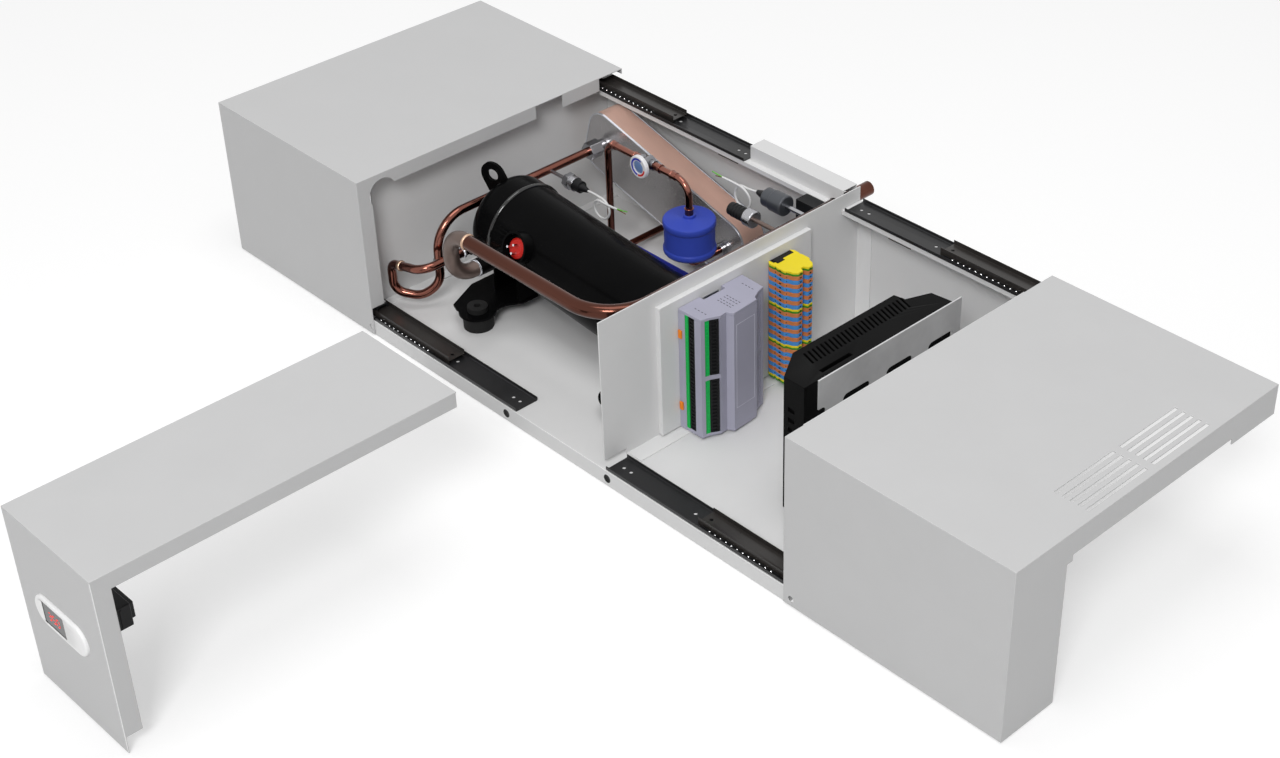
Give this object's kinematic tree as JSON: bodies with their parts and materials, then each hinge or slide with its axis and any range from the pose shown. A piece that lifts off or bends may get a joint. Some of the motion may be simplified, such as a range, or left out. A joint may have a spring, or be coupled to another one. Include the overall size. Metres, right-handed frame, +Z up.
{
  "type": "refrigeration condensing unit",
  "caption": "Flat refrigeration condensing unit with horizontal compressor, plate heat exchanger and electrical bay under sliding hoods and a pull-off middle cover.",
  "frame": {"origin": "middle of the lower edge of the chassis's near skirt", "axes": "+X along the slides towards the electrical bay, +Y away from the near face, +Z up"},
  "size_m": [1.378, 1.134, 0.23],
  "materials": {
    "white_sheet": "satin powder coat",
    "slide_black": "black electrocoat",
    "slide_steel": "bright drawn",
    "zinc": "passivated zinc",
    "compressor_black": "semi-gloss black paint",
    "red_insulator": "moulded",
    "pin_steel": "plated",
    "mount_rubber": "moulded",
    "coated_steel_pipe": "matt coating",
    "copper": "drawn copper",
    "brazed_plates": "copper-brazed edges",
    "cover_steel": "brushed",
    "fitting_steel": "machined",
    "blue_paint": "gloss blue paint",
    "lens": "clear over an indicator",
    "sensor_grey": "satin",
    "white_lead": "smooth sheath",
    "controller_grey": "moulded, fine texture",
    "green_plastic": "moulded",
    "orange_plastic": "moulded",
    "blue_plastic": "moulded",
    "yellow_green_plastic": "moulded",
    "black_plastic": "moulded",
    "bare_aluminium": "mill finish",
    "white_plastic": "moulded",
    "black_gloss": "polished"
  },
  "bodies": {
    "chassis": {"base_tray": "white_sheet", "far_wall": "white_sheet", "left_end_wall": "white_sheet", "right_end_wall": "white_sheet", "partition": "white_sheet", "mounting_plate": "white_sheet", "din_rails": "zinc", "compressor_shell": "compressor_black", "compressor_terminal_disc": "red_insulator", "compressor_terminal_pins": "pin_steel", "compressor_grommets": "mount_rubber", "suction_elbow": "coated_steel_pipe", "suction_line": "copper", "suction_clamp": "black_plastic", "discharge_line": "copper", "heat_exchanger_pack": "brazed_plates", "heat_exchanger_covers": "cover_steel", "heat_exchanger_fittings": "fitting_steel", "heat_exchanger_foot_rail": "blue_paint", "drier_inlet_pipe": "copper", "filter_drier": "blue_paint", "drier_outlet_pipe": "copper", "liquid_outlet_pipe": "copper", "sight_glass_body": "fitting_steel", "sight_glass_lens": "lens", "high_pressure_sensor": "fitting_steel", "low_pressure_sensor": "fitting_steel", "suction_sensor": "sensor_grey", "high_pressure_lead": "white_lead", "suction_lead": "white_lead", "controller_housing": "controller_grey", "controller_connectors": "green_plastic", "controller_latches": "orange_plastic", "inverter_housing": "black_plastic", "heat_sink_plate": "bare_aluminium", "earth_terminals": "yellow_green_plastic", "orange_terminals": "orange_plastic", "blue_terminals": "blue_plastic", "left_near_fixed_member": "slide_black", "left_far_fixed_member": "slide_black", "right_near_fixed_member": "slide_black", "right_far_fixed_member": "slide_black"},
    "left_hood": {"left_hood": "white_sheet", "left_near_inner_member": "slide_black", "left_far_inner_member": "slide_black"},
    "right_hood": {"right_hood": "white_sheet", "right_near_inner_member": "slide_black", "right_far_inner_member": "slide_black"},
    "middle_cover": {"middle_cover": "white_sheet", "display_unit": "white_plastic", "display_window": "black_gloss"},
    "left_near_middle": {"left_near_middle_member": "slide_black"},
    "left_near_cage": {"left_near_ball_cage": "slide_steel"},
    "left_far_middle": {"left_far_middle_member": "slide_black"},
    "left_far_cage": {"left_far_ball_cage": "slide_steel"},
    "right_near_middle": {"right_near_middle_member": "slide_black"},
    "right_near_cage": {"right_near_ball_cage": "slide_steel"},
    "right_far_middle": {"right_far_middle_member": "slide_black"},
    "right_far_cage": {"right_far_ball_cage": "slide_steel"}
  },
  "joints": [
    {"name": "left_hood_slide", "type": "slide", "parent": "chassis", "child": "left_hood", "axis": [1, 0, 0], "range_m": [0, 0.276]},
    {"name": "left_near_middle_slide", "type": "slide", "parent": "chassis", "child": "left_near_middle", "axis": [1, 0, 0], "range_m": [0, 0.138]},
    {"name": "left_near_cage_slide", "type": "slide", "parent": "chassis", "child": "left_near_cage", "axis": [1, 0, 0], "range_m": [0, 0.069]},
    {"name": "left_far_middle_slide", "type": "slide", "parent": "chassis", "child": "left_far_middle", "axis": [1, 0, 0], "range_m": [0, 0.138]},
    {"name": "left_far_cage_slide", "type": "slide", "parent": "chassis", "child": "left_far_cage", "axis": [1, 0, 0], "range_m": [0, 0.069]},
    {"name": "right_hood_slide", "type": "slide", "parent": "chassis", "child": "right_hood", "axis": [-1, 0, 0], "range_m": [0, 0.308]},
    {"name": "right_near_middle_slide", "type": "slide", "parent": "chassis", "child": "right_near_middle", "axis": [-1, 0, 0], "range_m": [0, 0.154]},
    {"name": "right_near_cage_slide", "type": "slide", "parent": "chassis", "child": "right_near_cage", "axis": [-1, 0, 0], "range_m": [0, 0.077]},
    {"name": "right_far_middle_slide", "type": "slide", "parent": "chassis", "child": "right_far_middle", "axis": [-1, 0, 0], "range_m": [0, 0.154]},
    {"name": "right_far_cage_slide", "type": "slide", "parent": "chassis", "child": "right_far_cage", "axis": [-1, 0, 0], "range_m": [0, 0.077]},
    {"name": "middle_cover_pull", "type": "slide", "parent": "chassis", "child": "middle_cover", "axis": [0, 1, 0], "range_m": [0, 0.644]}
  ],
  "couplings": [
    {"joint": "left_near_middle_slide", "follows": "left_hood_slide", "ratio": 0.5},
    {"joint": "left_near_cage_slide", "follows": "left_hood_slide", "ratio": 0.25},
    {"joint": "left_far_middle_slide", "follows": "left_hood_slide", "ratio": 0.5},
    {"joint": "left_far_cage_slide", "follows": "left_hood_slide", "ratio": 0.25},
    {"joint": "right_near_middle_slide", "follows": "right_hood_slide", "ratio": 0.5},
    {"joint": "right_near_cage_slide", "follows": "right_hood_slide", "ratio": 0.25},
    {"joint": "right_far_middle_slide", "follows": "right_hood_slide", "ratio": 0.5},
    {"joint": "right_far_cage_slide", "follows": "right_hood_slide", "ratio": 0.25}
  ]
}
